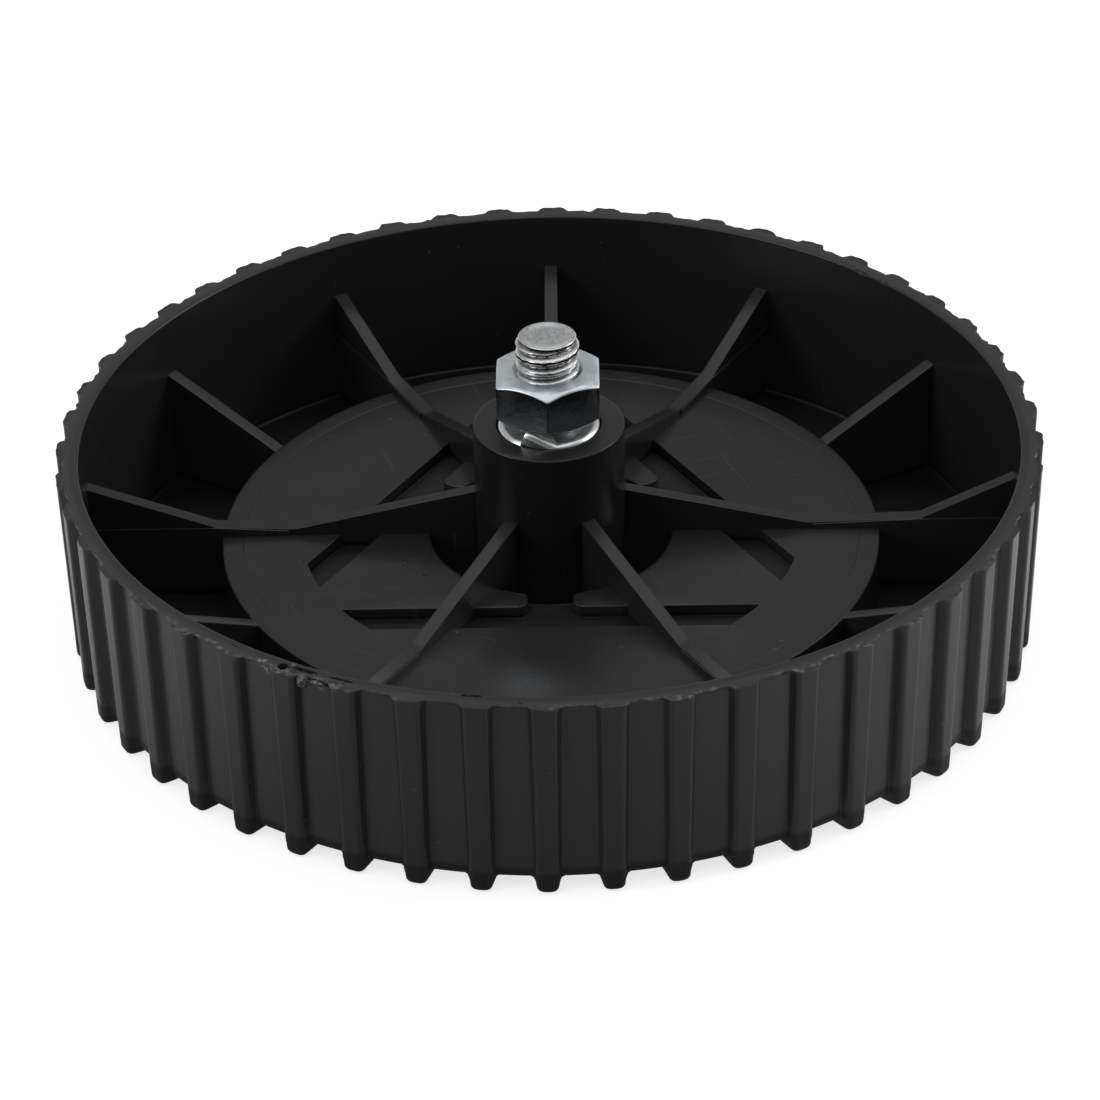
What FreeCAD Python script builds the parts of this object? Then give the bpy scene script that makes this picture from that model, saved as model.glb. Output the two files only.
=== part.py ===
"""Six inch moulded plastic wheel on a shouldered axle bolt, with a split spring washer and a hex nut.

The wheel lies on its closed outer face. Its axle stands along +Z, its open ribbed side looks up, and the origin
is the middle of the outer face. Lengths are millimetres and angles are degrees.
"""
import FreeCAD, Part
import math
import os

V = FreeCAD.Vector
UP = V(0, 0, 1)
ORIGIN = V(0, 0, 0)

# Rim and tread
tread_radius = 76.2
wheel_width = 32.0
rim_wall = 2.1
rim_draft = 0.3
lug_count = 50
lug_height = 1.4
lug_crest_width = 4.5
lug_foot_width = 3.2
lug_flank = 0.25
lug_foot_chamfer = 0.8
lug_angle = 269.65
groove_bevel_width = 5.0
groove_bevel_height = 2.3

# Side wall, trough and raised disc
sidewall = 3.1
disc_radius = 51.8
disc_height = 13.8
disc_thickness = 2.5
step_wall = 2.3
disc_chamfer = 0.4
dish_chamfer = 1.0

# Hub and the moat round it
hub_radius = 11.8
hub_stand = 1.0
hub_chamfer = 0.5
hub_counterbore = 1.9
counterbore_clearance = 0.15
moat_radius = 19.0
moat_depth = 7.3

# Straight slots in the disc, their ridges on the outer face, and the gaps through the pads beside the moat
slot_count = 3
slot_angle = 270.0
slot_distance = 22.7
slot_width = 5.3
slot_depth = 2.0
slot_end_radius = 39.0
slot_gap = 6.9
pad_end_round = 1.6

# Ribs: long ones run from the hub to the rim, one of them level for longer, and short ones from the disc to the rim
rib_count = 6
rib_thickness = 2.3
rib_hub_rise = 7.8
rib_knee_radius = 40.3
rib_knee_rise = 1.1
rib_knee_round = 8.0
rib_lip_rise = 1.6
rib_lip_overhang = 0.9
rib_far_overhang = 6.3
rib_rim_drop = 9.0
rib_foot_step = 0.25
rib_bite = 0.9

# Axle bolt, spring washer and nut
thread_radius = 4.85
thread_depth = 0.47
thread_chamfer = 0.6
thread_clearance = 0.03
thread_runout = 0.3
shoulder_radius = 6.2
running_clearance = 0.05
end_float = 0.2
head_flats = 16.0
head_height = 6.4
head_setback = 2.0
head_clearance = 0.5
head_angle = 270.0
bolt_reach = 40.0
washer_radius = 8.05
washer_thickness = 2.2
washer_rise = 1.9
washer_ramp_angle = 35.0
washer_clearance = 0.1
washer_gap_angle = 3.0
washer_split_angle = 238.5
nut_flats = 15.85
nut_height = 7.3
nut_angle = 270.0
hex_chamfer_angle = 30.0
hex_face_ratio = 0.95

# Levels and radii that follow from the sizes above
wall_inner_radius = tread_radius - lug_height - rim_wall
groove_radius = tread_radius - lug_height
groove_foot_radius = groove_radius - rim_draft
bevel_radius = groove_foot_radius - groove_bevel_width
disc_underside = disc_height - disc_thickness
moat_floor = disc_height - moat_depth
boss_face = moat_floor - disc_thickness
slot_floor = disc_height - slot_depth
hub_top = wheel_width + hub_stand
head_seat = head_setback + head_height
counterbore_floor = hub_top - hub_counterbore
shoulder_end = counterbore_floor + end_float
bolt_end = head_seat + bolt_reach
nut_seat = shoulder_end + washer_thickness + washer_rise
nut_top = nut_seat + nut_height
engaged_radius = thread_radius - thread_depth
recess_radius = head_flats / math.sqrt(3) + head_clearance
bore_radius = shoulder_radius + running_clearance
counterbore_radius = washer_radius + counterbore_clearance
pad_round = min(pad_end_round, 0.45 * (slot_distance - moat_radius))


def rounded_face(corners, upright=True):
    """Flat face through (u, v, radius) corners, each rounded by its radius, standing in XZ or lying in XY."""
    points = [V(u, 0, v) if upright else V(u, v, 0) for u, v, radius in corners]
    starts = []
    ends = []
    edges = []
    for index, point in enumerate(points):
        radius = corners[index][2]
        back = (points[index - 1] - point).normalize()
        ahead = (points[(index + 1) % len(points)] - point).normalize()
        half = back.getAngle(ahead) / 2
        run = radius / math.tan(half)
        starts.append(point + back * run)
        ends.append(point + ahead * run)
        if radius > 0:
            inward = (back + ahead).normalize()
            middle = point + inward * (radius / math.sin(half) - radius)
            edges.append(Part.Arc(starts[-1], middle, ends[-1]).toShape())
    for index, end in enumerate(ends):
        start = starts[(index + 1) % len(starts)]
        if end.distanceToPoint(start) > 1e-6:
            edges.append(Part.LineSegment(end, start).toShape())
    return Part.Face(Part.Wire(Part.__sortEdges__(edges)))


def revolved(corners):
    """Solid of revolution about the axle from (radius, height, corner radius) corners."""
    return rounded_face(corners).revolve(ORIGIN, UP, 360)


def plate(corners, thickness):
    """Upright plate of a (radius, height, corner radius) outline, centred on the XZ plane."""
    face = rounded_face(corners)
    face.translate(V(0, -thickness / 2, 0))
    return face.extrude(V(0, thickness, 0))


def turned(shape, angle):
    """Copy of a shape turned about the axle."""
    copy = shape.copy()
    copy.rotate(ORIGIN, UP, angle)
    return copy


def pattern(shape, count, first_angle):
    """Evenly spaced copies of a shape about the axle."""
    return [turned(shape, first_angle + step * 360 / count) for step in range(count)]


def shell():
    """Drafted rim, side wall, disc, moat and counterbored hub as one turned section with an even wall."""
    boss_radius = moat_radius + step_wall
    dish_radius = disc_radius - step_wall
    return revolved([
        (bore_radius, head_seat, 0),
        (recess_radius, head_seat, 0),
        (recess_radius, boss_face, 0),
        (boss_radius, boss_face, 0),
        (boss_radius, disc_underside, 0),
        (dish_radius, disc_underside, 0),
        (dish_radius, dish_chamfer, 0),
        (dish_radius + dish_chamfer, 0, 0),
        (bevel_radius, 0, 0),
        (groove_foot_radius, groove_bevel_height, 0),
        (groove_radius, wheel_width, 0),
        (wall_inner_radius, wheel_width, 0),
        (wall_inner_radius - rim_draft, sidewall, 0),
        (disc_radius, sidewall, 0),
        (disc_radius, disc_height - disc_chamfer, 0),
        (disc_radius - disc_chamfer, disc_height, 0),
        (moat_radius, disc_height, 0),
        (moat_radius, moat_floor, 0),
        (hub_radius, moat_floor, 0),
        (hub_radius, hub_top - hub_chamfer, 0),
        (hub_radius - hub_chamfer, hub_top, 0),
        (counterbore_radius, hub_top, 0),
        (counterbore_radius, counterbore_floor, 0),
        (bore_radius, counterbore_floor, 0),
    ])


def slot_strip(margin, bottom, top):
    """Straight bar across the disc on the slot's outline, widened by a margin and ended on a circle."""
    near = slot_distance - margin
    length = 2 * (slot_end_radius + margin)
    bar = Part.makeBox(slot_width + 2 * margin, length, top - bottom, V(near, -length / 2, bottom))
    disc = Part.makeCylinder(slot_end_radius + margin, top - bottom, V(0, 0, bottom))
    return bar.common(disc)


def pad_gap():
    """Block that opens the pad between a slot and the moat, as wide as the gap and the pads' rounded ends."""
    half = slot_gap / 2 + pad_round
    return Part.makeBox(slot_distance + slot_width / 2 - hub_radius, 2 * half, 2 * slot_depth,
                        V(hub_radius, -half, slot_floor))


def pad_end(side):
    """Rounded end of the pad on one side of a gap, from the moat's edge to the slot."""
    near = side * slot_gap / 2
    far = side * (slot_gap / 2 + pad_round)
    moat_edge = math.sqrt(moat_radius ** 2 - far ** 2)
    outline = rounded_face([
        (moat_edge, far, 0),
        (moat_edge, near, pad_round),
        (slot_distance, near, pad_round),
        (slot_distance, far, 0),
    ], upright=False)
    outline.translate(V(0, 0, slot_floor))
    return outline.extrude(V(0, 0, slot_depth))


def long_rib(lip_overhang):
    """Rib from the hub over the moat and the disc to the rim, on a slightly thicker foot in the trough.

    Its top runs level past the disc's edge by the overhang, and rises to the rim from there.
    """
    hub_side = hub_radius - rib_bite
    rim_side = wall_inner_radius + rib_bite
    rim_foot = wall_inner_radius - rim_draft
    lip_radius = disc_radius + lip_overhang
    lip = disc_height + rib_lip_rise
    rim_height = wheel_width - rib_rim_drop
    step_radius = disc_radius - step_wall / 2
    moat_wall = moat_radius + step_wall / 2
    in_disc = slot_floor - rib_bite / 3
    in_sidewall = sidewall * 2 / 3
    blade = plate([
        (hub_side, moat_floor - rib_bite, 0),
        (moat_wall, moat_floor - rib_bite, 0),
        (moat_wall, in_disc, 0),
        (step_radius, in_disc, 0),
        (step_radius, in_sidewall, 0),
        (rim_foot, in_sidewall, 0),
        (rim_side, sidewall, 0),
        (rim_side, rim_height, 0),
        (lip_radius, lip, 0),
        (rib_knee_radius, disc_height + rib_knee_rise, rib_knee_round),
        (hub_side, disc_height + rib_hub_rise, 0),
    ], rib_thickness)
    foot = plate([
        (step_radius, in_sidewall, 0),
        (rim_foot, in_sidewall, 0),
        (rim_side, sidewall, 0),
        (rim_side, lip, 0),
        (lip_radius, lip, 0),
        (step_radius, disc_height - disc_chamfer, 0),
    ], rib_thickness + 2 * rib_foot_step)
    return blade.fuse(foot)


def short_rib():
    """Straight web in the trough, rising from the disc's edge to the rim."""
    rim_side = wall_inner_radius + rib_bite
    rim_foot = wall_inner_radius - rim_draft
    step_radius = disc_radius - step_wall / 2
    in_sidewall = sidewall * 2 / 3
    return plate([
        (step_radius, in_sidewall, 0),
        (rim_foot, in_sidewall, 0),
        (rim_side, sidewall, 0),
        (rim_side, wheel_width - rib_rim_drop, 0),
        (disc_radius, disc_height, 0),
        (step_radius, disc_height, 0),
    ], rib_thickness)


def drafted_bar(bottom, top):
    """Solid with flat faces between two outlines of as many points, one above the other."""
    faces = [Part.Face(Part.makePolygon(outline + outline[:1])) for outline in (bottom, top)]
    for index in range(len(bottom)):
        after = (index + 1) % len(bottom)
        corners = [bottom[index], bottom[after], top[after], top[index], bottom[index]]
        faces.append(Part.Face(Part.makePolygon(corners)))
    return Part.Solid(Part.Shell(faces))


def lug():
    """One tread bar with sloped flanks, drafted to a narrower foot that is chamfered and reaches under the bevel."""
    root = wall_inner_radius + rim_wall / 2
    inner_end = bevel_radius - lug_height
    foot_radius = tread_radius - rim_draft
    chamfer_radius = foot_radius + rim_draft * lug_foot_chamfer / wheel_width

    def section(crest_width, crest_radius, height):
        crest = crest_width / 2
        base = crest + lug_flank
        half = [V(inner_end, base, height), V(crest_radius - lug_height, base, height),
                V(crest_radius, crest, height)]
        return half + [V(point.x, -point.y, height) for point in reversed(half)]

    side = plate([
        (root, wheel_width, 0),
        (tread_radius, wheel_width, 0),
        (chamfer_radius, lug_foot_chamfer, 0),
        (foot_radius - lug_foot_chamfer, 0, 0),
        (inner_end, 0, 0),
        (inner_end, sidewall / 2, 0),
        (root, sidewall, 0),
    ], 2 * (lug_crest_width + 2 * lug_flank))
    foot = section(lug_foot_width, foot_radius, 0)
    return side.common(drafted_bar(foot, section(lug_crest_width, tread_radius, wheel_width)))


def wheel():
    """The whole moulding: turned shell, slots with their ridges, ribs and tread lugs."""
    ridge_bottom = slot_floor - disc_thickness
    ridge_top = (disc_underside + slot_floor) / 2
    ridges = pattern(slot_strip(step_wall, ridge_bottom, ridge_top), slot_count, slot_angle)
    slots = pattern(slot_strip(0, slot_floor, disc_height + slot_depth), slot_count, slot_angle)
    gaps = pattern(pad_gap(), slot_count, slot_angle)
    pad_ends = [end for side in (-1, 1) for end in pattern(pad_end(side), slot_count, slot_angle)]
    body = shell().multiFuse(ridges).cut(Part.makeCompound(slots)).cut(Part.makeCompound(gaps))
    long_ribs = [long_rib(rib_far_overhang)] + pattern(long_rib(rib_lip_overhang), rib_count, 0)[1:]
    ribs = long_ribs + pattern(short_rib(), rib_count, 180 / rib_count)
    lugs = pattern(lug(), lug_count, lug_angle)
    return body.multiFuse(pad_ends + ribs + lugs).removeSplitter()


def hexagon(flats, bottom, height, angle, chamfer_bottom, chamfer_top):
    """Hexagonal prism with one corner at an angle, its chosen ends turned off by the usual cone."""
    corner = flats / math.sqrt(3)
    points = [V(corner, 0, 0)]
    for step in range(1, 7):
        turn = math.radians(60 * step)
        points.append(V(corner * math.cos(turn), corner * math.sin(turn), 0))
    prism = Part.Face(Part.makePolygon(points)).extrude(V(0, 0, height))
    face_radius = hex_face_ratio * flats / 2
    fall = (corner - face_radius) * math.tan(math.radians(hex_chamfer_angle))
    turning = revolved([
        (0, 0, 0),
        (face_radius if chamfer_bottom else corner, 0, 0),
        (corner, fall if chamfer_bottom else height / 4, 0),
        (corner, height - fall if chamfer_top else height * 3 / 4, 0),
        (face_radius if chamfer_top else corner, height, 0),
        (0, height, 0),
    ])
    prism = prism.common(turning)
    prism.translate(V(0, 0, bottom))
    prism.rotate(ORIGIN, UP, angle)
    return prism


def axle_bolt():
    """Shouldered bolt: hex head sunk in the hub's recess, plain journal through the bore, thread above the hub.

    The thread is plain, at its outer radius where it is free and at its middle radius where the nut holds it.
    """
    head = hexagon(head_flats, head_setback, head_height, head_angle, True, False)
    journal = Part.makeCylinder(shoulder_radius, shoulder_end - head_setback - head_height / 2,
                                V(0, 0, head_setback + head_height / 2))
    thread = revolved([
        (0, head_seat, 0),
        (thread_radius, head_seat, 0),
        (thread_radius, nut_seat, 0),
        (engaged_radius, nut_seat, 0),
        (engaged_radius, nut_top + thread_runout, 0),
        (thread_radius, nut_top + thread_runout, 0),
        (thread_radius, bolt_end - thread_chamfer, 0),
        (thread_radius - thread_chamfer, bolt_end, 0),
        (0, bolt_end, 0),
    ])
    return head.multiFuse([journal, thread]).removeSplitter()


def spring_washer():
    """Split ring of square spring steel, flat in the hub's counterbore on the bolt's shoulder, one end bent up to the nut."""
    inner = thread_radius + washer_clearance
    section = Part.makePolygon([
        V(inner, 0, 0),
        V(washer_radius, 0, 0),
        V(washer_radius, 0, washer_thickness),
        V(inner, 0, washer_thickness),
        V(inner, 0, 0),
    ])
    flat = Part.Face(section).revolve(ORIGIN, UP, 360 - washer_gap_angle - washer_ramp_angle)
    climb = Part.makeHelix(washer_rise * 360 / washer_ramp_angle, washer_rise, washer_radius, 0, True)
    bent_end = Part.Wire(climb).makePipeShell([section], True, True)
    ring = flat.fuse(bent_end).removeSplitter()
    ring.translate(V(0, 0, shoulder_end))
    ring.rotate(ORIGIN, UP, washer_split_angle + washer_gap_angle / 2 + washer_ramp_angle)
    return ring


def hex_nut():
    """Hex nut, chamfered on both ends, its bore at the middle radius of the thread."""
    blank = hexagon(nut_flats, nut_seat, nut_height, nut_angle, True, True)
    bore = Part.makeCylinder(engaged_radius + thread_clearance, nut_height, V(0, 0, nut_seat))
    return blank.cut(bore)


os.makedirs("parts", exist_ok=True)
for name, make in (
    ("wheel", wheel),
    ("axle_bolt", axle_bolt),
    ("spring_washer", spring_washer),
    ("hex_nut", hex_nut),
):
    shape = make()
    solid = shape.Solids[0] if len(shape.Solids) == 1 else shape
    print(name, "valid", solid.isValid(), "solids", len(shape.Solids), "volume", round(solid.Volume, 1))
    solid.exportStep(f"parts/{name}.step")
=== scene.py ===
import math

import bmesh
import bpy
from mathutils import Matrix, Vector, noise


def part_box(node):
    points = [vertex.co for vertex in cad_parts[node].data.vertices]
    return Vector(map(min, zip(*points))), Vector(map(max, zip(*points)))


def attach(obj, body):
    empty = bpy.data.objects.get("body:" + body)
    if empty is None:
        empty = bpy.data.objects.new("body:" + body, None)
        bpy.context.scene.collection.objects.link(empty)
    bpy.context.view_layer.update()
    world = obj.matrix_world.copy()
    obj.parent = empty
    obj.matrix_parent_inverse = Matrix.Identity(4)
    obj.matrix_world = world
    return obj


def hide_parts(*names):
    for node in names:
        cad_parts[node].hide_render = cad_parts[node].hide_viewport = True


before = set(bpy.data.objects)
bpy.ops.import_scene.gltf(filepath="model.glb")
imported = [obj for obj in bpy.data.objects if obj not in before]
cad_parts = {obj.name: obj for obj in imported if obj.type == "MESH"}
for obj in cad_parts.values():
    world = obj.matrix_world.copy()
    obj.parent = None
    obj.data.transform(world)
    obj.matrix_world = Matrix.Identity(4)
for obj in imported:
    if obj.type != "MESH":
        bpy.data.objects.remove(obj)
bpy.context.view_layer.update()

# Wheel, turned body.
# The wheel is one black plastic moulding. Rim, side wall, raised disc, moat and hub share one section,
# so the body is that section turned about the axle, with the moulding's small edge rounds.
mm = 0.001
wheel_low, wheel_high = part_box("wheel")
bolt_low, bolt_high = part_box("axle_bolt")
tread_room = 0.10
tread_radius = (wheel_high[0] - wheel_low[0]) / 2 / mm - tread_room
rim_top = 32.0
lug_height = 1.4
rim_draft = 0.3
rim_wall = 2.1
groove_radius = tread_radius - lug_height
wall_radius = groove_radius - rim_wall
groove_bevel_width = 5.0
groove_bevel_height = 2.3
groove_foot_radius = groove_radius - rim_draft
bevel_radius = groove_foot_radius - groove_bevel_width
sidewall = 3.1
disc_radius = 51.8
disc_top = 13.8
disc_underside = 11.3
dish_radius = 49.5
scribe_radius = 48.5
scribe_half_width = 0.13
scribe_depth = 0.09
moat_radius = 19.0
moat_floor = 6.5
boss_radius = 21.3
boss_face = 4.0
hub_radius = 11.8
hub_top = wheel_high[2] / mm
counterbore_radius = 8.2
counterbore_floor = hub_top - 1.9
head_seat = 8.4
recess_radius = 9.74
bore_radius = 6.25
recess_round = 0.5
dish_round = 1.0
bevel_round = 2.0
shoulder_round = 0.8
rim_round = 0.3
trough_round = 0.5
disc_round = 0.3
moat_round = 0.45
moat_floor_round = 0.8
hub_round = 0.25
counterbore_round = 0.15
flash_lip = 0.42
flash_thickness = 0.25
flash_root = 0.55
flash_least = 0.03
flash_most = 1.3
flash_level = 0.5
flash_spread = 0.9
flash_grain = 0.8
body_segments = 450


def bend(before, corner, after, radius, steps):
    """Points of the arc that rounds one corner of an outline."""
    before, corner, after = Vector(before), Vector(corner), Vector(after)
    back = (before - corner).normalized()
    ahead = (after - corner).normalized()
    half = back.angle(ahead) / 2
    centre = corner + (back + ahead).normalized() * radius / math.sin(half)
    first = corner + back * radius / math.tan(half) - centre
    last = corner + ahead * radius / math.tan(half) - centre
    sweep = math.pi - 2 * half
    arc = []
    for step in range(steps + 1):
        share = step / steps
        spoke = (first * math.sin((1 - share) * sweep) + last * math.sin(share * sweep)) / math.sin(sweep)
        arc.append(centre + spoke)
    return [tuple(point) for point in arc]


def rounded_outline(corners, edge_run=0.35, small_round=0.7):
    """Closed outline through (r, z, round) corners, with a short run beside each round to keep faces flat."""
    outline = []
    count = len(corners)
    for index, (r, z, radius) in enumerate(corners):
        before = corners[index - 1]
        after = corners[(index + 1) % count]
        if radius == 0:
            outline.append((r, z))
            continue
        steps = 3 if radius < small_round else 6
        arc = bend(before[:2], (r, z), after[:2], radius, steps)
        for neighbour, end, at_start in ((before, arc[0], True), (after, arc[-1], False)):
            leg = Vector(neighbour[:2]) - Vector(end)
            if leg.length > 6 * edge_run + neighbour[2]:
                run = tuple(Vector(end) + leg.normalized() * edge_run)
                arc = [run] + arc if at_start else arc + [run]
        outline.extend(arc)
    return outline


def add_object(name, mesh):
    """New object at the origin that shows a mesh."""
    piece = bpy.data.objects.new(name, mesh)
    bpy.context.scene.collection.objects.link(piece)
    return piece


def closed_mesh(name, rings, loop=False):
    """Mesh through rings of as many points, in millimetres: closed on itself, or capped at both ends."""
    mesh = bpy.data.meshes.new(name)
    bm = bmesh.new()
    rows = [[bm.verts.new(Vector(point) * mm) for point in ring] for ring in rings]
    count = len(rows[0])
    pairs = list(zip(rows, rows[1:]))
    if loop:
        pairs.append((rows[-1], rows[0]))
    else:
        bm.faces.new(reversed(rows[0]))
        bm.faces.new(rows[-1])
    for row, following in pairs:
        for index in range(count):
            after = (index + 1) % count
            bm.faces.new((row[index], row[after], following[after], following[index]))
    bmesh.ops.recalc_face_normals(bm, faces=bm.faces)
    bm.to_mesh(mesh)
    bm.free()
    return mesh


def turned(name, outline, segments):
    """Closed mesh of an (r, z) outline turned once round the axle."""
    rings = []
    for step in range(segments):
        angle = 2 * math.pi * step / segments
        rings.append([(r * math.cos(angle), r * math.sin(angle), z) for r, z in outline])
    return closed_mesh(name, rings, loop=True)


body_corners = [
    (bore_radius, head_seat, 0),
    (recess_radius, head_seat, 0),
    (recess_radius, boss_face, recess_round),
    (boss_radius, boss_face, dish_round),
    (boss_radius, disc_underside, dish_round),
    (dish_radius, disc_underside, dish_round),
    (dish_radius, 0, dish_round),
    (bevel_radius, 0, bevel_round),
    (groove_foot_radius, groove_bevel_height, shoulder_round),
    (groove_radius, rim_top - flash_root, 0),
    (groove_radius + flash_lip, rim_top - flash_thickness, 0),
    (groove_radius + flash_lip, rim_top, 0),
    (wall_radius, rim_top, rim_round),
    (wall_radius - rim_draft, sidewall, trough_round),
    (disc_radius, sidewall, trough_round),
    (disc_radius, disc_top, disc_round),
    (scribe_radius + scribe_half_width, disc_top, 0),
    (scribe_radius, disc_top - scribe_depth, 0),
    (scribe_radius - scribe_half_width, disc_top, 0),
    (moat_radius, disc_top, moat_round),
    (moat_radius, moat_floor, moat_floor_round),
    (hub_radius, moat_floor, moat_floor_round),
    (hub_radius, hub_top, hub_round),
    (counterbore_radius, hub_top, counterbore_round),
    (counterbore_radius, counterbore_floor, 0),
    (bore_radius, counterbore_floor, 0),
]
wheel = add_object("wheel_moulding", turned("wheel_moulding", rounded_outline(body_corners), body_segments))
# Flash along the rim's open edge, between the lugs, torn off unevenly
for vertex in wheel.data.vertices:
    r = math.hypot(vertex.co.x, vertex.co.y) / mm
    if r > groove_radius + 0.5 * flash_lip:
        left_over = flash_level + flash_spread * noise.noise(vertex.co.xy.to_3d() / mm * flash_grain)
        share = (groove_radius + flash_least + flash_most * flash_lip * max(0.0, left_over)) / r
        vertex.co.x *= share
        vertex.co.y *= share

# Wheel, slots and pad gaps.
# Three straight slots cross the disc, and each opens into the moat between two pads with round ends.
# Their cutting tools flare at the mouth, as the mould's edges are rounded. Ridges below carry the floors.
slot_count = 3
slot_angle = math.radians(270)
slot_near = 22.7
slot_far = 28.0
slot_end_radius = 39.0
slot_floor = 11.8
slot_round = 0.3
gap_half_width = 3.45
pad_round = 1.6
gap_into_moat = 3
ridge_bottom = 9.3
ridge_wall = 2.3
ridge_round = 0.6
ridge_round_step = 0.2
ridge_apart = 0.03
tear_scale = 620.0
tear_detail = 3.0
tear_middle = (0.5, 0.5, 0.42)
cut_levels = [
    (slot_floor, -slot_round),
    (slot_floor + 0.3 * slot_round, -0.3 * slot_round),
    (slot_floor + slot_round, 0),
    (disc_top - slot_round, 0),
    (disc_top - 0.3 * slot_round, 0.3 * slot_round),
    (disc_top, slot_round),
    (disc_top + slot_round, 1.2 * slot_round),
]


def slot_ring(height, margin, steps=6):
    """Outline of a slot, widened by a margin, with its ends on a circle about the axle."""
    end = slot_end_radius + margin
    inner = math.acos((slot_near - margin) / end)
    outer = math.acos((slot_far + margin) / end)
    turns = [inner + (outer - inner) * step / steps for step in range(steps + 1)]
    one_end = [(end * math.cos(turn), end * math.sin(turn), height) for turn in turns]
    return one_end + [(u, -v, height) for u, v, z in reversed(one_end)]


def gap_ring(height, margin, steps=6):
    """Outline of the gap between two pads, from the moat into the slot, round the pads' ends."""
    side = gap_half_width + pad_round
    moat_edge = math.sqrt(moat_radius ** 2 - side ** 2)
    radius = pad_round - margin
    half = [(hub_radius + gap_into_moat, side, height)]
    for centre, start in ((moat_edge + pad_round, math.pi), (slot_near - pad_round, 1.5 * math.pi)):
        for step in range(steps + 1):
            turn = start + math.pi / 2 * step / steps
            half.append((centre + radius * math.cos(turn), side + radius * math.sin(turn), height))
    half.append(((slot_near + slot_far) / 2, side, height))
    return half + [(u, -v, z) for u, v, z in reversed(half)]


def copies_tree():
    """Node tree that sets copies of a shape round the axle, from a first angle on and a step apart."""
    tree = bpy.data.node_groups.new("copies_round_the_axle", "GeometryNodeTree")
    face = tree.interface
    face.new_socket("Shape", in_out="INPUT", socket_type="NodeSocketGeometry")
    face.new_socket("Count", in_out="INPUT", socket_type="NodeSocketInt")
    for name in ("First Angle", "Step", "Ragged", "Seed"):
        face.new_socket(name, in_out="INPUT", socket_type="NodeSocketFloat")
    face.new_socket("Copies", in_out="OUTPUT", socket_type="NodeSocketGeometry")
    new = tree.nodes.new
    link = tree.links.new
    given = new("NodeGroupInput").outputs
    points = new("GeometryNodePoints")
    link(given["Count"], points.inputs["Count"])
    angle = new("ShaderNodeMath")
    angle.operation = "MULTIPLY_ADD"
    link(new("GeometryNodeInputIndex").outputs["Index"], angle.inputs[0])
    link(given["Step"], angle.inputs[1])
    link(given["First Angle"], angle.inputs[2])
    euler = new("ShaderNodeCombineXYZ")
    link(angle.outputs[0], euler.inputs["Z"])
    rotation = new("FunctionNodeEulerToRotation")
    link(euler.outputs[0], rotation.inputs[0])
    instances = new("GeometryNodeInstanceOnPoints")
    link(points.outputs[0], instances.inputs["Points"])
    link(given["Shape"], instances.inputs["Instance"])
    link(rotation.outputs[0], instances.inputs["Rotation"])
    real = new("GeometryNodeRealizeInstances")
    link(instances.outputs[0], real.inputs[0])
    # Torn edges: points marked as flash are pushed about by noise
    shifted = new("ShaderNodeVectorMath")
    shifted.operation = "ADD"
    link(new("GeometryNodeInputPosition").outputs[0], shifted.inputs[0])
    link(given["Seed"], shifted.inputs[1])
    grain = new("ShaderNodeTexNoise")
    grain.inputs["Scale"].default_value = tear_scale
    grain.inputs["Detail"].default_value = tear_detail
    link(shifted.outputs[0], grain.inputs["Vector"])
    centred = new("ShaderNodeVectorMath")
    centred.operation = "SUBTRACT"
    centred.inputs[1].default_value = tear_middle
    link(grain.outputs["Color"], centred.inputs[0])
    flash = new("GeometryNodeInputNamedAttribute")
    flash.data_type = "FLOAT"
    flash.inputs["Name"].default_value = "flash"
    amount = new("ShaderNodeMath")
    amount.operation = "MULTIPLY"
    link(flash.outputs["Attribute"], amount.inputs[0])
    link(given["Ragged"], amount.inputs[1])
    push = new("ShaderNodeVectorMath")
    push.operation = "SCALE"
    link(centred.outputs[0], push.inputs[0])
    link(amount.outputs[0], push.inputs["Scale"])
    torn = new("GeometryNodeSetPosition")
    link(real.outputs[0], torn.inputs["Geometry"])
    link(push.outputs[0], torn.inputs["Offset"])
    link(torn.outputs[0], new("NodeGroupOutput").inputs[0])
    return tree


round_the_axle = copies_tree()


def settle(piece):
    """Turns a piece's modifiers into a plain mesh."""
    seen = piece.evaluated_get(bpy.context.evaluated_depsgraph_get())
    mesh = bpy.data.meshes.new_from_object(seen)
    mesh.name = piece.name
    piece.modifiers.clear()
    old = piece.data
    piece.data = mesh
    bpy.data.meshes.remove(old)


def copies(name, mesh, count, first_angle, places=None, ragged=0.0, seed=0.0):
    """Object that holds copies of a mesh round the axle, on the first of so many even places."""
    piece = add_object(name, mesh)
    modifier = piece.modifiers.new("copies", "NODES")
    modifier.node_group = round_the_axle
    step = 2 * math.pi / (places or count)
    values = {"Count": count, "First Angle": first_angle, "Step": step, "Ragged": ragged, "Seed": seed}
    for socket in round_the_axle.interface.items_tree:
        if socket.in_out == "INPUT" and socket.name in values:
            modifier[socket.identifier] = values[socket.name]
    settle(piece)
    return piece


def combine(piece, tool, operation):
    """Cuts a tool out of a piece or joins it on, and takes the tool away."""
    modifier = piece.modifiers.new("combine", "BOOLEAN")
    modifier.operation = operation
    modifier.solver = "MANIFOLD"
    modifier.object = tool
    settle(piece)
    used = tool.data
    bpy.data.objects.remove(tool)
    bpy.data.meshes.remove(used)


ridge_levels = [
    (ridge_bottom, ridge_wall - ridge_round),
    (ridge_bottom + ridge_round_step, ridge_wall - ridge_round_step),
    (ridge_bottom + ridge_round, ridge_wall),
    ((disc_underside + slot_floor) / 2, ridge_wall),
]
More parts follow.
